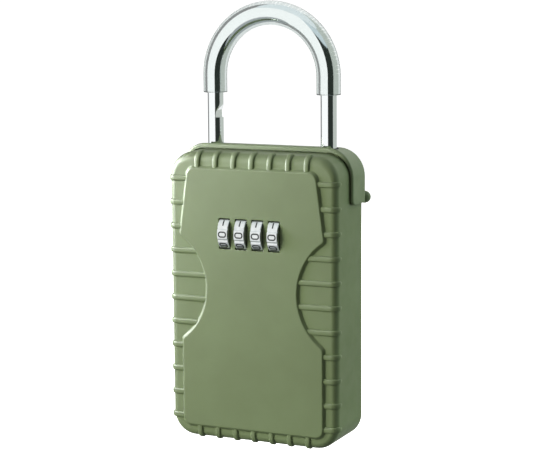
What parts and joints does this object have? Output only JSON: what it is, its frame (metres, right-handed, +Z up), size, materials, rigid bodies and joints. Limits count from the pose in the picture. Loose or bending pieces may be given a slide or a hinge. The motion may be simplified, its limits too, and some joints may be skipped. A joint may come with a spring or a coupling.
{
  "type": "padlock key box",
  "caption": "Key box that hangs on a U-shaped shackle, with a ribbed drop-down door opened by number dials and a tub for keys inside.",
  "frame": {"origin": "middle of the bounding box's base", "axes": "+Z up along the shackle, the dials and the ribbed door face -Y, +X to the right seen from the front"},
  "size_m": [0.0856, 0.038, 0.1939],
  "materials": {
    "case_paint": "matte olive green paint with a fine grain on die-cast metal",
    "hood_plastic": "matte olive green moulded plastic",
    "rubber": "black rubber",
    "steel": "zinc-plated steel",
    "shackle_chrome": "bright chrome plate",
    "clear_vinyl": "clear flexible vinyl tube",
    "lever_plastic": "red moulded plastic",
    "dial_chrome": "bright plated metal with black numbers",
    "hub_brass": "turned brass"
  },
  "bodies": {
    "case": {"rear_case": "case_paint", "hood": "hood_plastic", "leg_grommet_left": "rubber", "leg_grommet_right": "rubber", "hinge_pin": "steel", "bolt_cover": "steel", "catch_comb": "steel", "hood_screw_1": "steel", "hood_screw_2": "steel", "cover_screw_1": "steel", "cover_screw_2": "steel", "comb_screw_1": "steel", "comb_screw_2": "steel"},
    "shackle": {"shackle": "shackle_chrome", "shackle_sleeve": "clear_vinyl"},
    "shackle_bolt": {"shackle_bolt": "steel"},
    "door": {"door_shell": "case_paint", "lock_frame": "steel", "detent_spring": "steel", "hub_spring": "steel", "frame_screw_1": "steel", "frame_screw_2": "steel", "frame_screw_3": "steel", "frame_screw_4": "steel"},
    "reset": {"hub_axle": "steel", "reset_lever": "lever_plastic", "axle_clip_1_left": "steel", "axle_clip_1_right": "steel", "axle_clip_2_left": "steel", "axle_clip_2_right": "steel", "axle_clip_3_left": "steel", "axle_clip_3_right": "steel", "axle_clip_4_left": "steel", "axle_clip_4_right": "steel"},
    "dial_1": {"dial_1": "dial_chrome"},
    "hub_1": {"hub_1": "hub_brass"},
    "dial_2": {"dial_2": "dial_chrome"},
    "hub_2": {"hub_2": "hub_brass"},
    "dial_3": {"dial_3": "dial_chrome"},
    "hub_3": {"hub_3": "hub_brass"},
    "dial_4": {"dial_4": "dial_chrome"},
    "hub_4": {"hub_4": "hub_brass"}
  },
  "joints": [
    {"name": "shackle_slide", "type": "slide", "parent": "case", "child": "shackle", "axis": [0, 0, 1], "range_m": [-0.022, 0.018]},
    {"name": "bolt_slide", "type": "slide", "parent": "case", "child": "shackle_bolt", "axis": [-1, 0, 0], "range_m": [0, 0.0022]},
    {"name": "door_hinge", "type": "hinge", "parent": "case", "child": "door", "pos_m": [0, 0.0102, 0.0038], "axis": [1, 0, 0], "range_deg": [0, 95]},
    {"name": "reset_slide", "type": "slide", "parent": "door", "child": "reset", "axis": [-1, 0, 0], "range_m": [0, 0.0016], "stiffness_N_per_m": 300, "springref_m": -0.003, "deforming": ["hub_spring"]},
    {"name": "dial_1_spin", "type": "hinge", "parent": "door", "child": "dial_1", "pos_m": [0, -0.0105, 0.0933], "axis": [1, 0, 0], "continuous": true},
    {"name": "hub_1_slide", "type": "slide", "parent": "dial_1", "child": "hub_1", "axis": [-1, 0, 0], "range_m": [0, 0.0016]},
    {"name": "dial_2_spin", "type": "hinge", "parent": "door", "child": "dial_2", "pos_m": [0, -0.0105, 0.0933], "axis": [1, 0, 0], "continuous": true},
    {"name": "hub_2_slide", "type": "slide", "parent": "dial_2", "child": "hub_2", "axis": [-1, 0, 0], "range_m": [0, 0.0016]},
    {"name": "dial_3_spin", "type": "hinge", "parent": "door", "child": "dial_3", "pos_m": [0, -0.0105, 0.0933], "axis": [1, 0, 0], "continuous": true},
    {"name": "hub_3_slide", "type": "slide", "parent": "dial_3", "child": "hub_3", "axis": [-1, 0, 0], "range_m": [0, 0.0016]},
    {"name": "dial_4_spin", "type": "hinge", "parent": "door", "child": "dial_4", "pos_m": [0, -0.0105, 0.0933], "axis": [1, 0, 0], "continuous": true},
    {"name": "hub_4_slide", "type": "slide", "parent": "dial_4", "child": "hub_4", "axis": [-1, 0, 0], "range_m": [0, 0.0016]}
  ],
  "couplings": [
    {"joint": "hub_1_slide", "follows": "reset_slide", "ratio": 1},
    {"joint": "hub_2_slide", "follows": "reset_slide", "ratio": 1},
    {"joint": "hub_3_slide", "follows": "reset_slide", "ratio": 1},
    {"joint": "hub_4_slide", "follows": "reset_slide", "ratio": 1}
  ]
}
